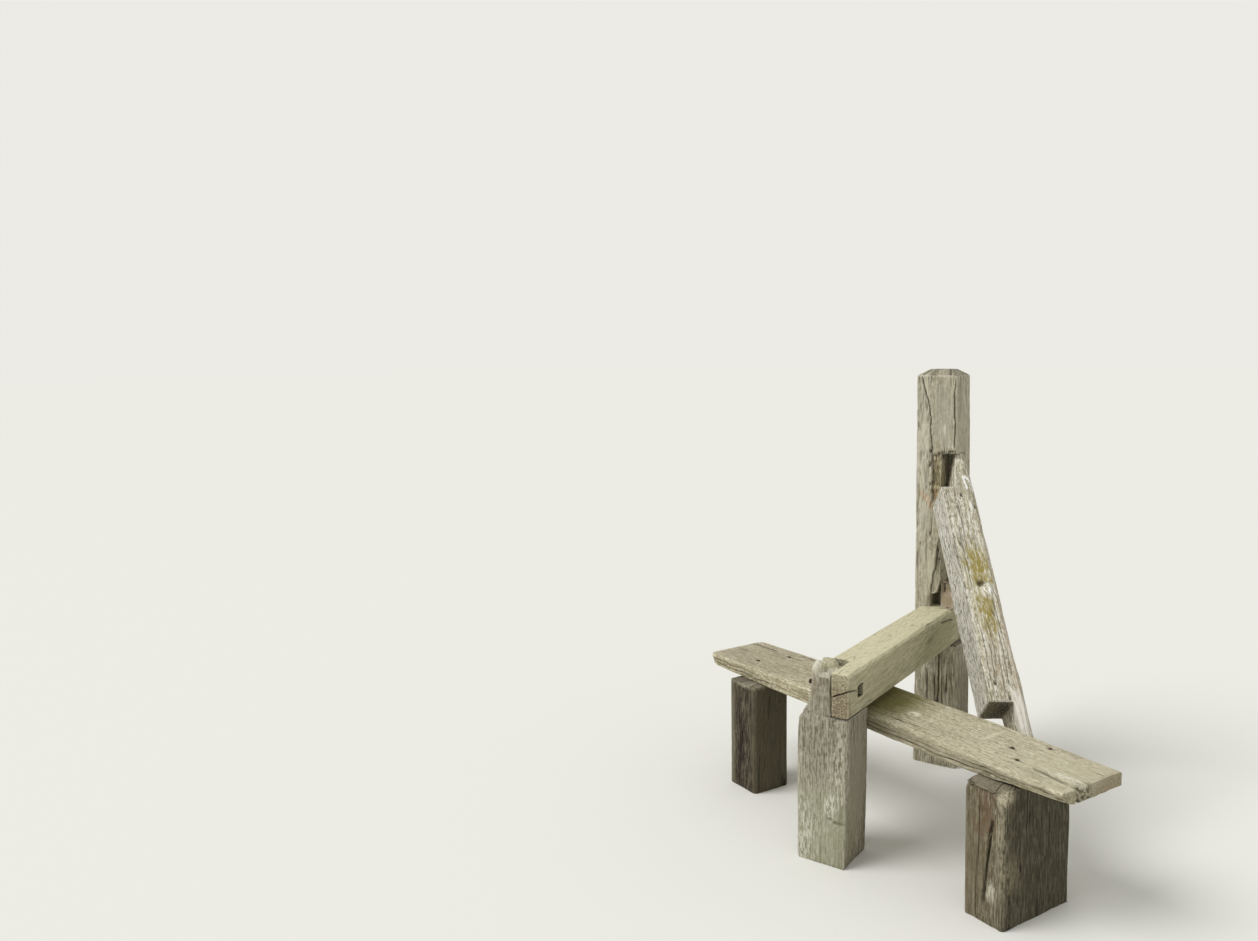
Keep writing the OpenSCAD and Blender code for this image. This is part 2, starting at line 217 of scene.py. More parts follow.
def weathered_oak(name, grain, pith, body, bright, dark, deep, wear, stains=(), crusts=(),
                  bleach_and_skylight=0.4, streaks=0.65, dashes=1.0, ends=0.35, pits=0.35, pores=0.6,
                  splits=1.0, boxed=True, seed=0.0):
    """Bare oak left outside: grey-brown lines along the grain, checks towards the pith, and stains.

    A stain or a crust is its place and reach on the timber, its colour, how much of the oak it covers
    and how ragged its edge is.
    """
    finish = bpy.data.materials.new(name)
    finish.use_nodes = True
    tree = finish.node_tree
    tree.nodes.clear()
    centre = Vector((pith[0], pith[1], 0))
    along = add(tree, "ShaderNodeMapping", {"vector_type": "POINT"}, {
        "Vector": add(tree, "ShaderNodeTexCoord").outputs["Object"],
        "Location": grain.to_translation() - centre,
        "Rotation": grain.to_euler(),
    }).outputs[0]

    # how far each figure is drawn out along the grain: a fibre is thirty times as long as it is wide,
    # a dash eight times, a fleck four times and grit twice, and a ray on end grain runs on
    fibres, broken, short, grains, round_dots, rays = 0.033, 0.12, 0.25, 0.5, 1, 0
    drawn = {}
    for shrink in (fibres, broken, short, grains, round_dots, rays):
        drawn[shrink] = add(tree, "ShaderNodeVectorMath", {"operation": "MULTIPLY"}, {
            0: along, 1: (1, 1, shrink)}).outputs[0]
    drawn[rays] = add(tree, "ShaderNodeVectorMath", {"operation": "NORMALIZE"}, {0: drawn[rays]}).outputs[0]

    # each figure's draw, seed, number to the metre across the grain, detail and roughness: patches are
    # 77 mm wide, bands 9, fibres 3.3, hairs 1.4, dashes, dots and specks 4, grit 5, flecks 7, checks 25
    figures = {
        "patch": (short, 0, 13, 4, 0.6),
        "band": (fibres, 3, 110, 5, 0.62),
        "fibre": (fibres, 7, 300, 3, 0.7),
        "hair": (fibres, 9, 700, 2, 0.6),
        "dash": (broken, 29, 230, 3, 0.6),
        "grit": (grains, 37, 190, 2, 0.6),
        "fleck": (short, 13, 150, 2, 0.55),
        "check": (fibres, 11, 40, 1.5, 0.5),
        "pause": (short, 17, 30, 2, 0.5),
        "star": (rays, 19, 5.5, 2, 0.6),
        "dots": (round_dots, 31, 260, 2, 0.6),
        "speck": (short, 23, 240, 3, 0.65),
    }
    figure = {}
    for label, (shrink, shift, number, detail, roughness) in figures.items():
        figure[label] = add(tree, "ShaderNodeTexNoise", {"noise_dimensions": "4D"}, {
            "Vector": drawn[shrink], "W": seed + shift, "Scale": number, "Detail": detail,
            "Roughness": roughness}).outputs["Fac"]
    # a year's growth is 4.2 mm, and a wave of scale 1 is 314 mm long
    figure["ring"] = add(tree, "ShaderNodeTexWave", {"wave_type": "RINGS", "rings_direction": "Z"}, {
        "Vector": drawn[fibres], "Scale": 0.314 / 0.0042, "Distortion": 5.0, "Detail": 2,
        "Detail Scale": 14, "Detail Roughness": 0.55}).outputs["Fac"]
    for label in ("end", "sky", "wear", "check"):
        figure["on_" + label] = add(tree, "ShaderNodeAttribute", {"attribute_name": label}).outputs["Fac"]

    # how much of a mark shows on the sides and on end grain: hair checks on the sides only, and a star
    # of checks, the rings and the pores on end grain
    shown = {}
    for label, on_side, on_end in (("star", 0.0, 0.9 if boxed else 0.0), ("check", splits, 0.0),
                                   ("ring", 0.45 / 4, 0.45), ("pore", 0.0, pores * 0.55),
                                   ("glint", 0.0, pores * 0.6)):
        shown[label] = add(tree, "ShaderNodeMapRange", {}, {
            "Value": figure["on_end"], "To Min": on_side, "To Max": on_end}).outputs[0]
    # hair checks come and go along the grain
    shown["check"] = add(tree, "ShaderNodeMapRange", {}, {
        "Value": figure["pause"], "From Min": 0.5, "From Max": 0.56, "To Max": shown["check"]}).outputs[0]
    opened = []
    for label, narrow, wide in (("check", 0.002, 0.010), ("star", 0.004, 0.03)):
        line = add(tree, "ShaderNodeMath", {"operation": "SUBTRACT"}, {0: figure[label], 1: 0.5}).outputs[0]
        line = add(tree, "ShaderNodeMath", {"operation": "ABSOLUTE"}, {0: line}).outputs[0]
        opened.append(add(tree, "ShaderNodeMapRange", {}, {
            "Value": line, "From Min": narrow, "From Max": wide, "To Min": shown[label],
            "To Max": 0.0}).outputs[0])
    split = add(tree, "ShaderNodeMath", {"operation": "MAXIMUM"}, {0: opened[0], 1: opened[1]}).outputs[0]
    hollow = add(tree, "ShaderNodeMath", {"operation": "MAXIMUM"}, {
        0: figure["on_check"], 1: split}).outputs[0]

    # stains soak in along the fibres, and crusts sit on them in specks 4 mm wide
    speck = add(tree, "ShaderNodeMapRange", {}, {
        "Value": figure["speck"], "From Min": 0.46, "From Max": 0.51}).outputs[0]
    marks = []
    for place, reach, colour, cover, ragged in list(stains) + list(crusts):
        away = add(tree, "ShaderNodeVectorMath", {"operation": "SUBTRACT"}, {
            0: along, 1: Vector(place) - centre}).outputs[0]
        away = add(tree, "ShaderNodeVectorMath", {"operation": "DIVIDE"}, {0: away, 1: reach}).outputs[0]
        away = add(tree, "ShaderNodeVectorMath", {"operation": "LENGTH"}, {0: away}).outputs["Value"]
        for label, tooth in (("dash", 5), ("fleck", 3)):
            away = add(tree, "ShaderNodeMath", {"operation": "MULTIPLY_ADD"}, {
                0: figure[label], 1: ragged * tooth, 2: away}).outputs[0]
        if len(marks) >= len(stains):
            cover = add(tree, "ShaderNodeMath", {"operation": "MULTIPLY"}, {0: speck, 1: cover}).outputs[0]
        marks.append((away, 1.1 + ragged * 4, 0.5 + ragged * 4, cover, colour))

    # the washes of colour, one on another: a figure, the value at which each begins to show, the
    # value at which it covers most, how much that is, and its colour
    washes = [
        (figure["patch"], 0.38, 0.64, 1.0, bright),
        # faces that look up are painted paler: partly bleaching, partly painted light from the sky
        (figure["on_sky"], 0, 1, bleach_and_skylight, wear),
        (figure["band"], 0.52, 0.36, streaks, dark),
        (figure["fibre"], 0.52, 0.61, 0.6, wear),
        (figure["fibre"], 0.46, 0.38, 0.6, dark),
        (figure["hair"], 0.45, 0.33, 0.4, dark),
        (figure["dash"], 0.53, 0.59, 0.85 * dashes, wear),
        (figure["dash"], 0.45, 0.38, 0.9 * dashes, dark),
        (figure["dash"], 0.37, 0.31, 0.7 * dashes, deep),
        (figure["grit"], 0.56, 0.63, pits, dark),
        (figure["grit"], 0.44, 0.37, pits, wear),
        (figure["fleck"], 0.62, 0.7, 0.7, wear),
        # again the paler tops, partly painted light
        (figure["on_sky"], 0, 1, bleach_and_skylight * 0.45, wear),
        (figure["ring"], 0.5, 1.0, shown["ring"], dark),
        (figure["on_end"], 0, 1, ends, dark),
    ] + marks + [
        (figure["dots"], 0.53, 0.61, shown["pore"], deep),
        (figure["dots"], 0.46, 0.38, shown["glint"], wear),
        (figure["on_wear"], 0, 1, 0.45, wear),
        # the 'check' attribute and the splits painted near black: painted shade in cracks, holes and hollows
        (hollow, 0, 1, 0.85, deep),
    ]
    tone = linear(body)
    for value, begins, full, most, colour in washes:
        cover = add(tree, "ShaderNodeMapRange", {}, {
            "Value": value, "From Min": begins, "From Max": full, "To Max": most}).outputs[0]
        tone = add(tree, "ShaderNodeMix", {"data_type": "RGBA"}, {
            0: cover, 6: tone, 7: linear(colour)}).outputs[2]

    # the relief that is too fine for the mesh
    height = figure["band"]
    for value, rise in ((figure["fibre"], 0.8), (figure["hair"], 0.3), (figure["dash"], 0.8),
                        (figure["ring"], -0.12), (split, -0.9)):
        height = add(tree, "ShaderNodeMath", {"operation": "MULTIPLY_ADD"}, {
            0: value, 1: rise, 2: height}).outputs[0]
    shader = add(tree, "ShaderNodeBsdfPrincipled", {}, {
        "Base Color": tone,
        "Roughness": 0.85,
        "Specular IOR Level": 0.25,
        "Normal": add(tree, "ShaderNodeBump", {}, {
            "Height": height, "Strength": 1.0, "Distance": 0.0026}).outputs[0],
    })
    add(tree, "ShaderNodeOutputMaterial", {}, {"Surface": shader.outputs[0]})
    return finish


def near(points, place, reach):
    """1 at a place on a timber, falling smoothly to 0 at its reach."""
    return 1 - ramp(np.linalg.norm((points - place) / reach, axis=1), 0.35, 1.0)


def cleft(along, across, spots, width):
    """1 inside a crack that runs through spots of (along, across), and 0 outside it."""
    line = np.interp(along, [spot[0] for spot in spots], [spot[1] for spot in spots])
    line = line + 0.0012 * drift(np.column_stack([along / 0.009, along * 0, along * 0]), 601)
    first, last = spots[0][0], spots[-1][0]
    inside = (1 - ramp(np.abs(across - line), width * 0.4, width)) * ramp(along, first, first + 0.01)
    return inside * (1 - ramp(along, last - 0.01, last))


def torn_post(points, out):
    """What is torn out of the tall post: the strip beside its head, the chunk under it, and the cheek."""
    x, z = points[:, 0], points[:, 2]
    front = ramp(-out[:, 1], 0.5, 0.8)
    rough = drift(points / (0.007, 0.03, 0.06), 101)
    fine = drift(points / (0.0035, 0.02, 0.012), 102)
    rim = np.interp(z, (0.80, 0.925, 1.014, 1.071, 1.137), (-0.020, -0.012, -0.016, -0.026, -0.044))
    strip = front * (1 - ramp(x - rim, -0.004, 0.0)) * ramp(z, 0.5, 0.65)
    depth = 0.0034 * strip * ramp(rough + 0.6 * fine, -0.1, 0.4)
    drying = cleft(z, x, ((0.915, -0.012), (0.95, -0.013), (1.014, -0.016), (1.071, -0.026),
                          (1.137, -0.044)), 0.0024)
    drying += cleft(z, x, ((0.18, 0.012), (0.30, 0.016), (0.352, 0.014)), 0.003)
    drying += cleft(z, x, ((0.93, 0.0535), (1.03, 0.053), (1.13, 0.052)), 0.002)
    drying *= ramp(-out[:, 1], 0.3, 0.6)
    depth += 0.006 * drying
    # the chunk split off between the head's jagged lower edge and the fresh break
    upper = 0.921 + 0.007 * drift(points / (0.008, 1, 1), 103)
    left = -0.014 + 0.008 * drift(points / (1, 1, 0.011), 104)
    chunk = front * ramp(x - left, 0.0, 0.002) * ramp(upper - z, 0.0, 0.004) * ramp(z, 0.762, 0.79)
    depth += chunk * (0.004 + 0.0055 * ramp(rough + 0.9 * fine, -0.3, 0.5))
    edge = chunk * (1 - ramp(x - left, 0.001, 0.004) * ramp(upper - z, 0.003, 0.009))
    fresh = near(points, (-0.02, -0.06, 0.782), (0.024, 0.03, 0.03)) * front
    depth += 0.003 * fresh * ramp(fine, -0.3, 0.5)
    # the pointed cheek, and the sliver set back behind its edge
    brink = np.interp(z, (0.50, 0.52, 0.56, 0.595, 0.64, 0.675),
                      (-0.014, -0.012, -0.006, 0.0005, 0.004, 0.010))
    brink = brink + 0.002 * drift(points / (1, 1, 0.01), 105)
    sliver = front * ramp(x - brink, 0.0, 0.002) * ramp(z, 0.50, 0.515) * (1 - ramp(z, 0.665, 0.68))
    depth += sliver * (0.007 + 0.003 * rough)
    slit = sliver * (1 - ramp(x - brink, 0.002, 0.005))
    wall = ramp(out[:, 0], 0.4, 0.8) * (1 - ramp(np.abs(x - 0.0155), 0.004, 0.01)) * ramp(z, 0.5, 0.56)
    wall *= 1 - ramp(points[:, 1], -0.03, 0.0)
    depth += 0.007 * wall * ramp(drift(points / (0.05, 0.012, 0.024), 106), -0.3, 0.6)
    # the slit, the chunk's edge and rough, the strip's rough hollows and the cracks are painted dark:
    # painted shade in them
    shade = 0.35 * edge + 0.9 * slit + 0.5 * chunk * ramp(rough + 0.9 * fine, 0.0, 0.6) + 0.9 * drying
    return depth, shade + 0.3 * strip * ramp(rough + 0.6 * fine, 0.1, 0.5), 0


post_grain = upright(0, 0)
post_pith = (0.012, 0.02)
tall_post = weathered_timber("tall_post", post_grain, post_pith, seed=11, fibre=0.0015, worn=0.4,
                             chips=0.002, check=0.005, carve=torn_post)
# oak silvered by sun and rain, and orange-brown where a piece has lately torn away; painted darker
# below the rail as its shade, and paler on the head's right face as light on it
tall_post.data.materials.append(weathered_oak(
    "silvered_oak_post", post_grain, post_pith, "#A8A28B", "#B8B299", "#7B725C", "#2E261B", "#CFC9B4",
    pits=0.5,
    stains=[((-0.04, -0.06, 0.90), (0.028, 0.03, 0.4), "#C3BDA8", 0.6, 0.3),
            ((0.02, -0.06, 1.02), (0.034, 0.02, 0.13), "#A19C8B", 0.7, 0.15),
            # painted shade: the post below the rail darkened as in the rail's shadow
            ((0.0, 0.0, 0.17), (0.12, 0.12, 0.26), "#7A745F", 0.6, 0.3),
            ((0.002, -0.055, 0.85), (0.018, 0.03, 0.09), "#B0A27C", 0.75, 0.2),
            ((-0.014, -0.05, 0.57), (0.016, 0.03, 0.07), "#C9C4AC", 0.75, 0.3),
            ((0.036, -0.04, 0.50), (0.03, 0.06, 0.07), "#A29076", 0.7, 0.3),
            ((0.024, -0.06, 0.985), (0.004, 0.02, 0.02), "#D9D5C2", 0.9, 0.1),
            # painted light: the head's right face made paler, as if lit
            ((0.07, 0.0, 1.03), (0.02, 0.09, 0.12), "#AEA994", 0.6, 0.2),
            # painted shade: the lower right face darkened as under the rail
            ((0.07, 0.0, 0.15), (0.02, 0.12, 0.26), "#6A6452", 0.6, 0.3),
            ((-0.044, -0.058, 0.797), (0.012, 0.02, 0.008), "#BFA380", 0.85, 0.1),
            ((-0.032, -0.058, 0.788), (0.011, 0.02, 0.009), "#BFA380", 0.9, 0.1),
            ((-0.021, -0.058, 0.777), (0.008, 0.02, 0.014), "#D2BCA0", 0.9, 0.1),
            ((-0.014, -0.058, 0.764), (0.005, 0.02, 0.016), "#8F7455", 0.85, 0.1),
            ((-0.003, -0.058, 0.796), (0.008, 0.02, 0.018), "#AE9070", 0.85, 0.2)],
    crusts=[((-0.04, -0.06, 0.85), (0.03, 0.03, 0.5), "#D9D5C6", 0.35, 0.6),
            ((0.02, -0.06, 0.97), (0.03, 0.03, 0.12), "#C9C4B2", 0.35, 0.6)], seed=1.0))


# The short post: a squared oak post cut to a shoulder for the rail, with a horn left standing beside
# it. Its front is pale and bleached, greenish towards the ground, and the horn's top is rotted into
# lumps.


def dome(points, place, reach):
    """1 at a place on a timber, falling round to a steep edge at its reach, and 0 outside it."""
    return np.sqrt(np.clip(1 - np.sum(((points - place) / reach) ** 2, axis=1), 0, 1))


def rotted_horn(points, out):
    """What has rotted from the short post: the horn's top between its lumps, and cracks in its faces."""
    top = ramp(points[:, 2], 0.438, 0.457)
    front_lump = dome(points, (-0.020, -0.043, 0.46), (0.019, 0.022, 0.2))
    back_lump = dome(points, (-0.012, 0.000, 0.46), (0.027, 0.022, 0.2))
    hollow = near(points, (0.010, 0.036, 0.46), (0.026, 0.026, 0.2))
    lean = np.zeros((len(points), 3))
    lean[:, 2] = top * (0.022 * front_lump + 0.017 * back_lump - 0.018 * hollow)
    lean[:, 2] += top * 0.003 * drift(points / (0.005, 0.005, 0.05), 203)
    lean[:, 0] = -0.004 * top * np.maximum(front_lump, back_lump) * (1 - ramp(points[:, 0], -0.02, 0.0))
    horn = ramp(points[:, 2], 0.345, 0.4) * (1 - ramp(np.abs(out[:, 2]), 0.6, 0.9))
    depth = 0.0015 * horn * ramp(drift(points / (0.02, 0.02, 0.035), 204), -0.2, 0.6)
    cross = 1 - ramp(np.abs(points[:, 2] - 0.112 - 0.004 * drift(points / (0.02, 0.02, 1), 205)), 0.0, 0.003)
    cross *= near(points, (0.036, -0.062, 0.112), (0.034, 0.03, 0.03))
    drying = cleft(points[:, 2], points[:, 1], ((0.29, -0.024), (0.331, -0.026), (0.365, -0.027)), 0.0026)
    drying *= ramp(out[:, 0], 0.5, 0.8)
    depth += 0.004 * cross + 0.005 * drying
    # the shoulder's rim is worn down under the rail
    rim = ramp(points[:, 2], 0.350, 0.360) * ramp(-points[:, 1], 0.045, 0.062) * (points[:, 2] < 0.362)
    depth += 0.003 * rim
    # the hollow between the lumps and the cracks are painted dark: painted shade in them
    return depth, 0.9 * top * hollow + 0.7 * cross + 0.9 * drying, lean


short_x, short_y = -0.016, -0.714
short_grain = upright(short_x, short_y)
short_pith = (0.0, 0.01)
short_post = weathered_timber("short_post", short_grain, short_pith, seed=29, worn=0.5, chips=0.002,
                              check=0, carve=rotted_horn)
# oak bleached unevenly over grey-brown, its horn's top painted paler partly as light, with a little green
# growth low down, painted shade in a dark line under the rail, and one red-brown bruise beside the bolt
short_post.data.materials.append(weathered_oak(
    "bleached_oak_post", short_grain, short_pith, "#756E5A", "#847C68", "#605846", "#302819", "#C9C5B3",
    streaks=0.2, dashes=0.3, ends=0.0, splits=0.4, boxed=False,
    stains=[((0, -0.06, 0.1), (0.1, 0.1, 0.15), "#A0A285", 0.6, 0.4),
            # the horn's top painted paler: partly bleached, partly painted light on its lumps
            ((0.0, -0.02, 0.48), (0.05, 0.09, 0.03), "#C2BB9B", 0.85, 0.1),
            ((-0.024, -0.046, 0.478), (0.018, 0.024, 0.016), "#E2DFD0", 0.85, 0.2),
            ((0.004, -0.03, 0.458), (0.03, 0.05, 0.007), "#D6D1BE", 0.6, 0.3),
            ((-0.02, -0.06, 0.43), (0.008, 0.03, 0.028), "#84705A", 0.6, 0.4),
            # painted shade: a dark line along the shoulder where the rail sits on it
            ((0.044, -0.02, 0.361), (0.044, 0.12, 0.0035), "#2F281B", 0.9, 0.1),
            ((-0.010, -0.062, 0.265), (0.036, 0.02, 0.105), "#675E4D", 0.55, 0.35),
            ((0.065, 0.0, 0.2), (0.01, 0.06, 0.2), "#A59E8B", 0.8, 0.4)],
    crusts=[((0.048, -0.062, 0.26), (0.022, 0.02, 0.13), "#CFCBBB", 0.5, 0.7),
            ((0.020, -0.062, 0.145), (0.016, 0.02, 0.030), "#DEDBCC", 0.75, 0.4),
            ((-0.050, -0.062, 0.05), (0.03, 0.02, 0.09), "#D8D6C6", 0.6, 0.6),
            ((-0.02, -0.062, 0.2), (0.06, 0.02, 0.3), "#D2CEBE", 0.3, 0.8)], seed=8.0))


# The rail: one squared oak rail, tenoned into the tall post and lapped beside the short post's horn.
# Its top is painted pale khaki, partly bleached and partly as light from the sky, and its sides are darker
# olive grey.


def lapped_rail(points, out):
    """Cracks in the rail: across the end of its lap, on into its side, and beside the tall post."""
    x, y, z = points.T
    end = ramp(out[:, 2], 0.6, 0.9)
    side = ramp(out[:, 0], 0.5, 0.8)
    drying = end * cleft(x, y, ((-0.01, -0.012), (0.003, -0.006), (0.026, 0.006), (0.045, 0.016),
                                (0.06, 0.018)), 0.0024)
    drying += side * cleft(z, y, ((0.665, 0.006), (0.69, 0.011), (0.716, 0.016), (0.73, 0.017)), 0.002)
    drying += side * cleft(z, y, ((-0.01, 0.024), (0.022, 0.028), (0.09, 0.034)), 0.0022)
    # the lap has shrunk off the shoulder that carries it, and its underside there is painted dark as the
    # gap's shade
    under = ramp(-out[:, 1], 0.5, 0.8) * ramp(z, 0.585, 0.6)
    brow = ramp(-y, 0.047, 0.0535) * ramp(z, 0.590, 0.6)
    # the hole of the nut is painted black, partly as rust and dirt and partly as the shade in it, but for
    # its far wall, which is cut 9 mm further back
    hole_y, hole_z = 0.001, 0.650
    hole = (np.abs(z - hole_z) < 0.014) * (np.abs(y - hole_y) < 0.017) * (1 - ramp(x, 0.0445, 0.047))
    lean = np.zeros((len(points), 3))
    lean[:, 2] = -0.009 * ramp(z, 0.610, 0.637) * (1 - ramp(z, 0.640, 0.662)) * ramp(x, 0.015, 0.026)
    lean[:, 2] *= 1 - ramp(np.abs(y - hole_y), 0.0145, 0.020)
    shade = 0.95 * drying + 0.5 * under + hole * (1 - 0.8 * ramp(out[:, 2], 0.3, 0.7))
    return 0.007 * drying + 0.0012 * under + 0.002 * brow, shade, lean


# the rail's middle line starts at the tall post's front: X is to its right, Y up and Z along it
rail_x, rail_y, rail_z = 0.004, -0.06, 0.4135
rail_grain = Matrix(((1, 0, 0, -rail_x), (0, 0, 1, -rail_z), (0, -1, 0, rail_y), (0, 0, 0, 1)))
rail_pith = (-0.01, -0.09)
rail = weathered_timber("rail", rail_grain, rail_pith, seed=37, stretch=2.5, worn=0.4, relief=0.0007,
                        warp=0.0008, check=0, chips=0.001, sway=0.001, carve=lapped_rail)
# khaki oak, its grain slanting a little across sides that a coarse saw has left hairy; it greens
# towards the tall post, and its end grain is brown and open
slanting = Matrix.Rotation(math.radians(-6), 4, "X") @ rail_grain
rail.data.materials.append(weathered_oak(
    "sawn_khaki_oak", slanting, rail_pith, "#B6B191", "#C4BEA0", "#8B8468", "#2F281B", "#D8D1B1",
    bleach_and_skylight=0.9, streaks=0.3, dashes=0.4, ends=0.1, pits=0.1, pores=0.75, splits=0.5, boxed=False, seed=3.0,
    stains=[((0.05, 0.0, 0.12), (0.02, 0.08, 0.22), "#87835F", 0.6, 0.2),
            ((0.02, 0.0, 0.722), (0.3, 0.3, 0.02), "#8E7F68", 0.75, 0.0),
            ((0.02, 0.06, 0.722), (0.06, 0.06, 0.02), "#80705B", 0.6, 0.1),
            ((0.02, -0.05, 0.70), (0.06, 0.02, 0.05), "#CDBDA0", 0.6, 0.2),
            # painted shadow: a dark band on the rail's underside over the shoulder
            ((0.0, -0.0545, 0.66), (0.08, 0.0045, 0.09), "#2F281B", 0.9, 0.1)],
    crusts=[((0.0, -0.055, 0.58), (0.05, 0.02, 0.12), "#EAE5CE", 0.7, 0.6),
            ((0.0, -0.055, 0.30), (0.05, 0.02, 0.25), "#E3DDC2", 0.4, 0.6)]))


# The rail's bolt: a 12 mm iron bolt through the horn and the rail's lap, with a square nut at each
# end. One nut stands on the horn with the threads past it, and the other lies in a square hole; all
# are rusted.
bolt_y, bolt_z = -0.710, rail_z
bolt_ends = (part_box("rail_bolt")[0].x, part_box("rail_bolt")[1].x)
nut_width, nut_thick, nut_lefts = 0.020, 0.011, (-0.049, 0.0315)
bolt_radius, thread_pitch, thread_turns = 0.006, 0.0019, 14
nut_corner = nut_width * 0.7071
core_radius = bolt_radius * 0.84

bolt = bmesh.new()
for nut_left in nut_lefts:
    made = bmesh.ops.create_cone(bolt, cap_ends=True, segments=4, radius1=nut_corner,
                                 radius2=nut_corner, depth=nut_thick)["verts"]
    bmesh.ops.rotate(bolt, verts=made, matrix=Matrix.Rotation(math.radians(45), 3, "Z"))
    bmesh.ops.rotate(bolt, verts=made, matrix=Matrix.Rotation(math.radians(90), 3, "Y"))
    bmesh.ops.translate(bolt, verts=made, vec=(nut_left + nut_thick / 2, bolt_y, bolt_z))
bmesh.ops.bevel(bolt, geom=bolt.edges[:], offset=0.0016, segments=3, affect="EDGES", profile=0.6)
shank = bmesh.ops.create_cone(bolt, cap_ends=True, segments=24, radius1=core_radius,
                              radius2=core_radius, depth=bolt_ends[1] - bolt_ends[0])["verts"]
bmesh.ops.rotate(bolt, verts=shank, matrix=Matrix.Rotation(math.radians(90), 3, "Y"))
bmesh.ops.translate(bolt, verts=shank, vec=((bolt_ends[0] + bolt_ends[1]) / 2, bolt_y, bolt_z))
bolt_mesh = bpy.data.meshes.new("rail_bolt_iron")
bolt.to_mesh(bolt_mesh)
bolt.free()
rail_bolt = bpy.data.objects.new("rail_bolt_iron", bolt_mesh)
bpy.context.scene.collection.objects.link(rail_bolt)

# forged iron rusted dark brown all over, with orange powder where it is fresh, in spots 4 mm wide
rusted_iron = bpy.data.materials.new("rusted_iron")
rusted_iron.use_nodes = True
tree = rusted_iron.node_tree
tree.nodes.clear()
rust = add(tree, "ShaderNodeTexNoise", {}, {
    "Vector": add(tree, "ShaderNodeTexCoord").outputs["Object"], "Scale": 260, "Detail": 5,
    "Roughness": 0.65}).outputs["Fac"]
rust_tone = add(tree, "ShaderNodeMix", {"data_type": "RGBA"}, {
    0: add(tree, "ShaderNodeMapRange", {}, {"Value": rust, "From Min": 0.45, "From Max": 0.68}).outputs[0],
    6: linear("#3A2C23"), 7: linear("#75503A")}).outputs[2]
iron = add(tree, "ShaderNodeBsdfPrincipled", {}, {
    "Base Color": rust_tone, "Roughness": 0.78, "Metallic": 0.25,
    "Normal": add(tree, "ShaderNodeBump", {}, {
        "Height": rust, "Strength": 0.8, "Distance": 0.0008}).outputs[0]})
add(tree, "ShaderNodeOutputMaterial", {}, {"Surface": iron.outputs[0]})
bolt_mesh.materials.append(rusted_iron)


def grown(name, mesh, tree, sizes):
    """The plain mesh that a Geometry Nodes tree makes of a mesh, once its inputs have their sizes."""
    made = bpy.data.objects.new(name, mesh)
    bpy.context.scene.collection.objects.link(made)
    grow = made.modifiers.new("grow", "NODES")
    grow.node_group = tree
    for item in tree.interface.items_tree:
        if item.in_out == "INPUT" and item.name in sizes:
            grow[item.identifier] = sizes[item.name]
    mesh = bpy.data.meshes.new_from_object(made.evaluated_get(bpy.context.evaluated_depsgraph_get()))
    made.modifiers.remove(grow)
    made.data = mesh
    return made


def threaded(name, start, turns, radius, pitch, finish):
    """A row of thread ridges along X from a start, made by a Geometry Nodes tree."""
    tree = bpy.data.node_groups.new(name, "GeometryNodeTree")
    tree.is_modifier = True
    tree.interface.new_socket("Geometry", in_out="OUTPUT", socket_type="NodeSocketGeometry")
    for label, kind in (("Turns", "NodeSocketInt"), ("Radius", "NodeSocketFloat"),
                        ("Pitch", "NodeSocketFloat")):
        tree.interface.new_socket(label, in_out="INPUT", socket_type=kind)
    given = add(tree, "NodeGroupInput").outputs
    # one ridge is two flanks back to back: a crest at the full radius, down to a root on each side
    step = add(tree, "ShaderNodeCombineXYZ", {}, {"X": given["Pitch"]}).outputs[0]
    row = add(tree, "GeometryNodeMeshLine", {"mode": "OFFSET"}, {
        "Count": given["Turns"], "Start Location": start, "Offset": step}).outputs[0]
    half = add(tree, "ShaderNodeMath", {"operation": "MULTIPLY"}, {0: given["Pitch"], 1: 0.55}).outputs[0]
    root = add(tree, "ShaderNodeMath", {"operation": "MULTIPLY"}, {0: given["Radius"], 1: 0.82}).outputs[0]
    flank = add(tree, "GeometryNodeMeshCone", {"fill_type": "NONE"}, {
        "Vertices": 24, "Radius Top": given["Radius"], "Radius Bottom": root, "Depth": half}).outputs["Mesh"]
    ridge_depth = add(tree, "ShaderNodeMath", {"operation": "MULTIPLY"}, {0: half, 1: 2.0}).outputs[0]
    shifted = add(tree, "ShaderNodeCombineXYZ", {}, {"Z": ridge_depth}).outputs[0]
    back = add(tree, "GeometryNodeTransform", {}, {
        "Geometry": flank, "Rotation": (math.pi, 0, 0), "Translation": shifted}).outputs[0]
    ridge = add(tree, "GeometryNodeJoinGeometry")
    tree.links.new(flank, ridge.inputs[0])
    tree.links.new(back, ridge.inputs[0])
    along_bolt = (0, math.radians(90), math.radians(4))
    placed = add(tree, "GeometryNodeInstanceOnPoints", {}, {
        "Points": row, "Instance": ridge.outputs[0], "Rotation": along_bolt}).outputs[0]
    real = add(tree, "GeometryNodeRealizeInstances", {}, {"Geometry": placed}).outputs[0]
    closed = add(tree, "GeometryNodeMergeByDistance", {}, {"Geometry": real, "Distance": 0.00005}).outputs[0]
    dressed = add(tree, "GeometryNodeSetMaterial", {}, {"Geometry": closed, "Material": finish}).outputs[0]
    add(tree, "NodeGroupOutput", {}, {"Geometry": dressed})
    sizes = {"Turns": turns, "Radius": radius, "Pitch": pitch}
    return grown(name, bpy.data.meshes.new(name), tree, sizes)


first_thread = (bolt_ends[0] + 0.001, bolt_y, bolt_z)
bolt_thread = threaded("bolt_thread", first_thread, thread_turns, bolt_radius, thread_pitch, rusted_iron)
for piece in (rail_bolt, bolt_thread):
    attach(piece, "root")
    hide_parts("rail_bolt")


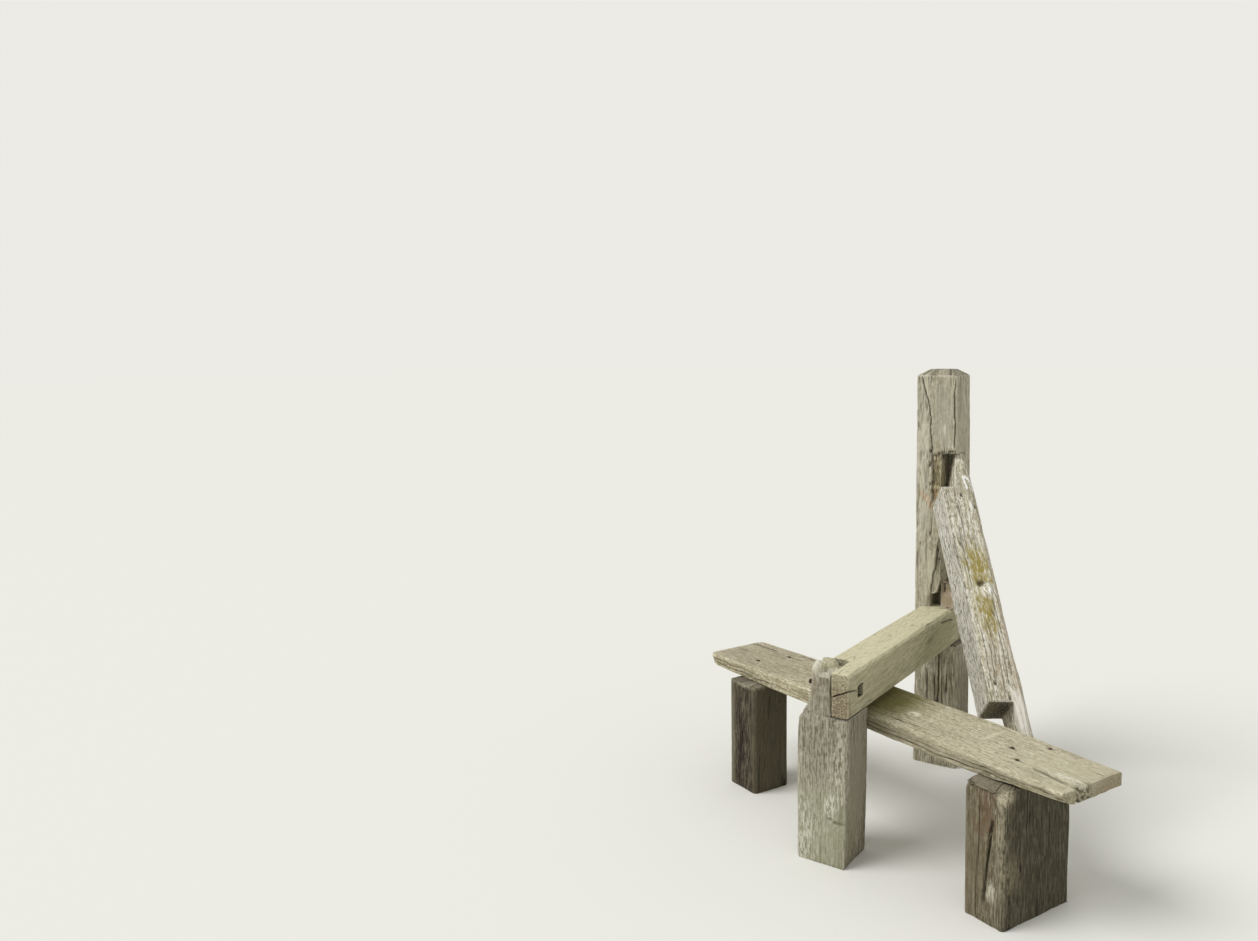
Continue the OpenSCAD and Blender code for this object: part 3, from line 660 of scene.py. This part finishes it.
# The step posts: two short, deep stubs of dark oak, set upright to carry the plank, which is nailed
# down to them. They are checked right through, and pale only along one arris and on the bit of top
# that shows.
plank_corner = Vector((0.530, -0.83247, 0))
plank_turn = 21.5
towards_left = Vector((-math.cos(math.radians(plank_turn)), math.sin(math.radians(plank_turn)), 0))
towards_far = Vector((math.sin(math.radians(plank_turn)), math.cos(math.radians(plank_turn)), 0))

left_along, left_across = 0.960, 0.023
left_middle = plank_corner + towards_left * left_along + towards_far * left_across
left_grain = upright(left_middle.x, left_middle.y, -plank_turn)
left_pith = (0.01, 0.03)
left_stub = weathered_timber("left_step_post", left_grain, left_pith, seed=53, worn=0.5, relief=0.0014)
# oak nearly black-brown, partly as damp and partly as painted shade under the plank, with one paler arris
left_stub.data.materials.append(weathered_oak(
    "shaded_dark_oak", left_grain, left_pith, "#383327", "#463F32", "#282319", "#1F1912", "#6C6452",
    ends=0.0,
    stains=[((0.075, 0.0, 0.15), (0.04, 0.4, 0.8), "#5C5744", 0.75, 0.2),
            ((-0.045, -0.059, 0.12), (0.014, 0.02, 0.25), "#8E8670", 0.5, 0.5),
            ((0.0, -0.045, 0.297), (0.07, 0.03, 0.012), "#A59D88", 0.8, 0.3)], seed=5.0))


def torn_stub(points, out):
    """The slab torn out of the right step post's front above its deep crack, and its worn brow."""
    x, z = points[:, 0], points[:, 2]
    front = ramp(-out[:, 1], 0.5, 0.8)
    slab = near(points, (0.004, -0.114, 0.245), (0.02, 0.03, 0.055))
    jag = ramp(drift(points / (0.008, 0.02, 0.02), 303), -0.4, 0.4)
    crack = front * cleft(z, x, ((0.04, 0.0), (0.076, 0.004), (0.156, 0.012), (0.235, 0.021)), 0.005)
    brow = ramp(z, 0.275, 0.297) * ramp(-points[:, 1], 0.075, 0.11)
    return 0.005 * slab * (0.5 + 0.5 * jag) + 0.006 * crack + 0.006 * brow, 0.7 * crack, 0


right_along, right_across = 0.1575, 0.078
right_middle = plank_corner + towards_left * right_along + towards_far * right_across
right_grain = upright(right_middle.x, right_middle.y, -plank_turn)
right_pith = (-0.01, 0.02)
right_stub = weathered_timber("right_step_post", right_grain, right_pith, seed=67, worn=0.5,
                              carve=torn_stub)
# damp brown oak, its side under the plank painted near black-green as shade, rusty round the tear and pale
# on the worn arris
right_stub.data.materials.append(weathered_oak(
    "damp_brown_oak", right_grain, right_pith, "#655D49", "#786F58", "#433C2D", "#1F1912", "#A39B84",
    ends=0.0, streaks=0.35, dashes=0.55,
    # painted shade: the side under the plank darkened near black
    stains=[((0.076, 0.02, 0.15), (0.04, 0.4, 0.8), "#323123", 0.88, 0.1),
            ((-0.02, -0.114, 0.15), (0.05, 0.02, 0.2), "#6B614A", 0.5, 0.2),
            ((0.006, -0.114, 0.238), (0.024, 0.03, 0.055), "#6C5541", 0.6, 0.8),
            ((0.048, -0.108, 0.288), (0.018, 0.03, 0.02), "#B3A98E", 0.7, 0.2),
            ((0.018, -0.114, 0.072), (0.014, 0.02, 0.02), "#9A937D", 0.6, 0.4),
            ((-0.03, -0.10, 0.297), (0.08, 0.03, 0.008), "#8B8370", 0.7, 0.3)],
    crusts=[((0.045, -0.114, 0.2), (0.014, 0.02, 0.16), "#A29B84", 0.55, 0.3),
            ((0.05, -0.10, 0.12), (0.012, 0.05, 0.05), "#8A8068", 0.7, 0.3),
            ((0.048, -0.108, 0.285), (0.018, 0.03, 0.024), "#CFC6AA", 0.6, 0.1),
            ((0.018, -0.114, 0.075), (0.015, 0.02, 0.026), "#C4C0AE", 0.75, 0.2)], seed=6.0))


# The step plank: a thick oak plank, nailed across two stub posts at a slant to the rail.
# Its tread is worn and pale, with olive algae in the rail's shadow and a split at its right end.
plank_length, plank_width, plank_middle_z = 1.16, 0.205, 0.313
plank_grain = Matrix.Translation(plank_corner + Vector((0, 0, plank_middle_z)))
plank_grain = plank_grain @ Matrix((
    (towards_far.x, 0, towards_left.x, 0), (towards_far.y, 0, towards_left.y, 0),
    (0, -1, 0, 0), (0, 0, 0, 1)))
plank_grain = plank_grain.inverted()
plank_pith = (0.08, 0.12)
# where each nail stands on the tread: across the plank from its near edge, and along from its right end
nail_spots = [(0.112, 0.200), (0.065, 0.153), (0.176, 0.150), (0.060, 1.008), (0.152, 0.980)]


def trodden_plank(points, out):
    """What wear and weather took from the plank: two shallow dishes, its right corner, and a split."""
    x, y, z = points.T
    top = ramp(-out[:, 1], 0.6, 0.9)
    dish = np.exp(-((z - 0.38) / 0.2) ** 2) + np.exp(-((z - 0.85) / 0.14) ** 2)
    dish *= np.exp(-((x - 0.1) / 0.06) ** 2)
    depth = 0.002 * top * dish
    # its near edge leans in under both ends, and its right corner is rounded and thin
    edge = 1 - ramp(x, 0.0, 0.05)
    lean = np.zeros((len(points), 3))
    lean[:, 0] = 0.010 - 0.010 * ramp(z, 0.05, 0.3) + 0.008 * ramp(z, 1.03, 1.16)
    lean[:, 0] *= edge * ramp(y, -0.012, 0.016)
    lean[:, 1] = -0.009 * edge * ramp(y, -0.016, 0.017) * (1 - ramp(z, 0.02, 0.25))
    corner = (1 - ramp(x, 0.0, 0.03)) * (1 - ramp(z, 0.0, 0.03))
    lean[:, 0] += 0.005 * corner
    lean[:, 2] = 0.005 * corner
    # the split runs in from the right end, and torn fibres curl up beside it
    split = top * cleft(z, x, ((-0.012, 0.047), (0.014, 0.050), (0.066, 0.057), (0.11, 0.060)), 0.0075)
    depth += 0.010 * split
    jag = ramp(drift(points / (0.005, 0.006, 0.03), 403), -0.2, 0.3)
    torn = (1 - ramp(np.abs(x - 0.070), 0.016, 0.028)) * (1 - ramp(z, 0.004, 0.022))
    torn *= 1 - ramp(out[:, 1], 0.2, 0.6)
    depth += 0.005 * torn * jag
    # layers have opened along the lower half of the near edge
    near_edge = 1 - ramp(x, 0.0, 0.004)
    wave = 0.003 * drift(points / (1, 1, 0.05), 405)
    layer = 1 - ramp(np.abs(y - 0.006 - wave), 0.0003, 0.0016)
    layer = np.maximum(layer, 0.7 - 0.7 * ramp(np.abs(y + 0.004 - wave), 0.0003, 0.0014))
    layer *= near_edge * ramp(drift(points / (1, 0.006, 0.09), 406), -0.3, 0.1)
    depth += 0.004 * layer
    rim = 1 - ramp(np.minimum(x, plank_width - x), 0.0, 0.012)
    depth += 0.001 * rim * ramp(drift(points / (0.03, 0.03, 0.06), 404), 0.0, 0.6)
    return depth, split + 0.6 * torn * jag + layer, lean


plank = weathered_timber("step_plank", plank_grain, plank_pith, seed=41, worn=0.7, relief=0.0007, check=0,
                         chips=0.001, carve=trodden_plank)
# oak that treading keeps pale and smooth, pitted and dashed with darker fibre, and olive with algae
plank.data.materials.append(weathered_oak(
    "trodden_oak", plank_grain, plank_pith, "#A29878", "#B5AB88", "#7E755A", "#30281A", "#D5CEB6",
    bleach_and_skylight=0.25, streaks=0.45, dashes=0.65, ends=0.0, pits=0.9, pores=0.2, boxed=False, seed=4.0,
    stains=[((0.1, -0.016, 0.59), (0.16, 0.05, 0.14), "#787235", 0.85, 0.15),
            ((0.092, -0.022, 0.462), (0.018, 0.03, 0.018), "#E8E1CB", 0.95, 0.1),
            ((0.087, -0.022, 0.464), (0.006, 0.03, 0.009), "#8A8260", 0.8, 0.1),
            ((0.13, -0.016, 0.27), (0.05, 0.02, 0.008), "#D2CBB2", 0.6, 0.2),
            ((0.1, -0.016, 0.06), (0.12, 0.03, 0.12), "#BCB599", 0.5, 0.4),
            ((0.16, 0.0, -0.012), (0.07, 0.06, 0.022), "#9A8872", 0.6, 0.1),
            # partly painted shade: the tread darker brown-grey at its left end
            ((0.1, -0.016, 1.0), (0.16, 0.03, 0.22), "#968C76", 0.4, 0.3),
            ((-0.004, 0.0, 0.35), (0.012, 0.03, 0.5), "#948C76", 0.7, 0.4)]
    + [((x, -0.016, z), (0.006, 0.01, 0.016), "#4C4234", 0.7, 0.25) for x, z in nail_spots],
    crusts=[((0.075, -0.018, 0.03), (0.013, 0.02, 0.07), "#E4E0D0", 0.85, 0.2),
            ((0.1, -0.02, 0.15), (0.12, 0.02, 0.25), "#DAD4BD", 0.3, 0.8)]))


def nail_heads(name, spots, facing, radius, finish):
    """Hammered nail heads standing on a timber, made by a Geometry Nodes tree."""
    tree = bpy.data.node_groups.new(name, "GeometryNodeTree")
    tree.is_modifier = True
    tree.interface.new_socket("Geometry", in_out="OUTPUT", socket_type="NodeSocketGeometry")
    for label, kind in (("Spots", "NodeSocketGeometry"), ("Radius", "NodeSocketFloat"),
                        ("Facing", "NodeSocketVector")):
        tree.interface.new_socket(label, in_out="INPUT", socket_type=kind)
    given = add(tree, "NodeGroupInput").outputs
    thick = add(tree, "ShaderNodeMath", {"operation": "MULTIPLY"}, {0: given["Radius"], 1: 0.5}).outputs[0]
    rim = add(tree, "ShaderNodeMath", {"operation": "MULTIPLY"}, {0: given["Radius"], 1: 0.72}).outputs[0]
    head = add(tree, "GeometryNodeMeshCone", {"fill_type": "TRIANGLE_FAN"}, {
        "Vertices": 14, "Radius Top": rim, "Radius Bottom": given["Radius"], "Depth": thick}).outputs["Mesh"]
    # each head is turned its own way about its nail
    spin = add(tree, "FunctionNodeRandomValue", {"data_type": "FLOAT_VECTOR"}, {
        "Min": (-0.14, -0.14, 0.0), "Max": (0.14, 0.14, 3.0), "Seed": 5}).outputs["Value"]
    turned = add(tree, "FunctionNodeAlignEulerToVector", {"axis": "Z"}, {
        "Rotation": spin, "Vector": given["Facing"]}).outputs[0]
    placed = add(tree, "GeometryNodeInstanceOnPoints", {}, {
        "Points": given["Spots"], "Instance": head, "Rotation": turned}).outputs[0]
    real = add(tree, "GeometryNodeRealizeInstances", {}, {"Geometry": placed}).outputs[0]
    dressed = add(tree, "GeometryNodeSetMaterial", {}, {"Geometry": real, "Material": finish}).outputs[0]
    add(tree, "NodeGroupOutput", {}, {"Geometry": dressed})
    mesh = bpy.data.meshes.new(name)
    mesh.from_pydata([tuple(spot) for spot in spots], [], [])
    made = grown(name, mesh, tree, {"Radius": radius, "Facing": facing})
    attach(made, "root")
    return made


# the tread rises towards its middle, by 23 mm a metre where the nails are, and the nails with it
tread_at_ends, tread_rise, nail_radius = -0.0148, 0.023, 0.0052
nail_feet = [Vector((x, tread_at_ends - tread_rise * min(z, plank_length - z), z)) for x, z in nail_spots]
plank_nails = nail_heads("plank_nails", [plank_grain.inverted() @ foot for foot in nail_feet],
                         Vector((0, 0, 1)), nail_radius, rusted_iron)


# The brace: an oak timber that leans at a compound angle from the right step post's back to the tall
# post's rebate. It is notched at both ends, cream and silver, with ochre lichen half way up and old
# nail holes.
brace_notch, brace_heading, brace_lean = (0.282, -0.479, 0.365), 55, 42
brace_place = Matrix.Translation(brace_notch) @ Matrix.Rotation(math.radians(-brace_heading), 4, "Z")
brace_grain = (brace_place @ Matrix.Rotation(math.radians(-brace_lean), 4, "Y")).inverted()
brace_pith = (-0.06, 0.03)
# on its upper face, holes at (across, along), checks at (across, from, to) and white strokes at
# (across, along, half width, half length)
old_holes = [(0.052, 0.599), (0.083, 0.560), (0.027, 0.049), (0.054, 0.010)]
fine_checks = [(0.018, 0.05, 0.20), (0.030, 0.03, 0.16), (0.040, 0.09, 0.22), (0.048, 0.02, 0.13),
               (0.061, 0.04, 0.19), (0.071, 0.06, 0.15), (0.022, 0.30, 0.50), (0.034, 0.43, 0.58)]
white_strokes = [(0.067, 0.655, 0.004, 0.010), (0.068, 0.641, 0.004, 0.010),
                 (0.070, 0.626, 0.0045, 0.013), (0.073, 0.659, 0.0045, 0.006),
                 (0.078, 0.653, 0.0045, 0.006), (0.083, 0.646, 0.0045, 0.007),
                 (0.086, 0.636, 0.004, 0.009), (0.087, 0.621, 0.0035, 0.013)]


def pitted_brace(points, out):
    """Old nail holes, a sunken knot and the rough bark edge of the brace."""
    depth = np.zeros(len(points))
    shade = np.zeros(len(points))
    for y, z in old_holes:
        hole = near(points, (0, y, z), (0.012, 0.005, 0.007))
        depth += 0.006 * hole
        shade += hole
    ragged = np.column_stack([drift(points / (0.01, 0.01, 0.012), seed) for seed in (505, 506, 507)]) * 0.003
    knot = near(points + ragged, (0, 0.049, 0.322), (0.02, 0.017, 0.013))
    lump = near(points + ragged, (0, 0.060, 0.306), (0.02, 0.017, 0.022))
    depth += 0.006 * knot - 0.005 * lump
    shade += knot * (1 - lump)
    for y, low, high in fine_checks:
        drying = cleft(points[:, 2], points[:, 1], ((low, y), (high, y + 0.002)), 0.0016)
        drying *= ramp(out[:, 0], 0.5, 0.8) * (1 - knot) * (1 - lump)
        depth += 0.002 * drying
        shade += 0.6 * drying
    bark = ramp(points[:, 1], 0.07, 0.084) * ramp(points[:, 0], -0.03, -0.01)
    depth += 0.002 * bark * ramp(drift(points / (0.012, 0.012, 0.06), 504), -0.2, 0.6)
    return depth, shade, 0


brace = weathered_timber("brace", brace_grain, brace_pith, seed=71, worn=0.4, relief=0.0014, check=0,
                         chips=0.0015, carve=pitted_brace)
# oak bleached to cream and silver, furred with pale crusts, under lichen the colour of mustard
brace.data.materials.append(weathered_oak(
    "lichened_oak", brace_grain, brace_pith, "#ACA386", "#C5BB95", "#736951", "#352C1D", "#E6E3D6",
    bleach_and_skylight=0.15, streaks=0.95, ends=0.9, pits=0.85, splits=0.6, boxed=False, seed=7.0,
    stains=[((-0.06, -0.004, 0.3), (0.085, 0.012, 0.6), "#6C6A63", 0.65, 0.3),
            ((0, 0.084, 0.05), (0.03, 0.014, 0.4), "#C4B29C", 0.5, 0.4),
            ((0, 0.040, 0.12), (0.03, 0.026, 0.10), "#A6977A", 0.55, 0.5),
            ((0, 0.048, 0.33), (0.03, 0.028, 0.16), "#A5985F", 0.55, 0.4),
            ((0, 0.066, 0.63), (0.03, 0.04, 0.06), "#A8A28B", 0.55, 0.2),
            ((0, 0.070, 0.563), (0.02, 0.0045, 0.022), "#F4F2EC", 0.9, 0.2),
            ((0, 0.070, -0.03), (0.03, 0.022, 0.07), "#E4E1D6", 0.85, 0.5),
            # painted shade: the lower notch's end face, facing down, darkened to dark olive
            ((-0.05, 0.03, 0.0), (0.07, 0.04, 0.006), "#4A4632", 0.95, 0.0),
            ((-0.05, 0.0, 0.0), (0.07, 0.036, 0.006), "#77704E", 0.7, 0.1)]
    + [((0, y, z), (0.02, wide, tall), "#F6F4EE", 1.0, 0.05) for y, z, wide, tall in white_strokes],
    # the left side painted pale silver: partly bleached crust, partly painted light on that side
    crusts=[((-0.06, -0.004, 0.3), (0.085, 0.012, 0.6), "#D8D5CB", 0.9, 0.3),
            ((0, 0.040, 0.30), (0.03, 0.05, 0.30), "#EDEADF", 0.45, 0.6),
            ((0, 0.049, 0.366), (0.03, 0.037, 0.086), "#96863E", 0.95, 0.45),
            ((0, 0.047, 0.246), (0.03, 0.029, 0.080), "#96863E", 0.95, 0.45),
            ((0, 0.060, 0.303), (0.012, 0.021, 0.026), "#F6F4EE", 1.0, 0.1)]))


# The stage: a plain pale floor, soft overcast light and the camera at the photograph's angle.
# The sky behind has the floor's tone, so that the object stands on one plain ground.
far = 60
floor_mesh = bpy.data.meshes.new("floor")
floor_mesh.from_pydata([(-far, -far, 0), (far, -far, 0), (far, far, 0), (-far, far, 0)], [], [(0, 1, 2, 3)])
floor = bpy.data.objects.new("floor", floor_mesh)
bpy.context.scene.collection.objects.link(floor)
# matt painted board: pale and even, with no gloss, so that only the object's shadow shows on it
floor_finish = bpy.data.materials.new("pale_floor")
floor_finish.use_nodes = True
floor_look = floor_finish.node_tree.nodes["Principled BSDF"].inputs
floor_look["Base Color"].default_value = linear("#E4E3DE")
floor_look["Roughness"].default_value = 0.95
floor_look["Specular IOR Level"].default_value = 0.1
floor_mesh.materials.append(floor_finish)

# the sky lights the object dimly, and is seen as pale as the floor
sky = bpy.data.worlds.new("sky")
bpy.context.scene.world = sky
sky.use_nodes = True
tree = sky.node_tree
tree.nodes.clear()
dim = add(tree, "ShaderNodeBackground", {}, {"Color": linear("#F8F8F4"), "Strength": 0.66})
pale = add(tree, "ShaderNodeBackground", {}, {"Color": linear("#E4E3DE"), "Strength": 1.08})
seen = add(tree, "ShaderNodeMixShader", {}, {
    0: add(tree, "ShaderNodeLightPath").outputs["Is Camera Ray"], 1: dim.outputs[0], 2: pale.outputs[0]})
add(tree, "ShaderNodeOutputWorld", {}, {"Surface": seen.outputs[0]})

# a high cloud brighter to the left and in front, as one soft sun
sun = bpy.data.lights.new("bright_cloud", "SUN")
sun.energy = 1.95
sun.angle = math.radians(32)
cloud = bpy.data.objects.new("bright_cloud", sun)
cloud.rotation_euler = Vector((0.75, 0.9, -1.35)).to_track_quat("-Z", "Y").to_euler()
bpy.context.scene.collection.objects.link(cloud)

# the camera, as the lines of the timbers give it, but with its axis 26 rows higher in the picture, so
# that the right step post's foot stands inside the frame
photo_width, photo_height, focal_pixels, axis_row = 1258, 941, 1015.66, 429
camera_spot = (0.9859, -2.9166, 1.22)
yaw, pitch, roll = math.radians(35.9235), math.radians(4.4619), math.radians(-0.6127)
right = Vector((math.cos(yaw), math.sin(yaw), 0))
look = Vector((-math.sin(yaw) * math.cos(pitch), math.cos(yaw) * math.cos(pitch), -math.sin(pitch)))
up = right.cross(look)
across = right * math.cos(roll) + up * math.sin(roll)
above = up * math.cos(roll) - right * math.sin(roll)
lens = bpy.data.cameras.new("camera")
lens.sensor_width = 36
lens.lens = focal_pixels / photo_width * lens.sensor_width
lens.shift_y = (axis_row - photo_height / 2) / photo_width
lens.clip_start = 0.05
camera = bpy.data.objects.new("camera", lens)
camera.matrix_world = Matrix.Translation(camera_spot) @ Matrix((
    (across.x, above.x, -look.x), (across.y, above.y, -look.y), (across.z, above.z, -look.z))).to_4x4()
bpy.context.scene.collection.objects.link(camera)
bpy.context.scene.camera = camera
bpy.context.scene.view_settings.view_transform = "Standard"
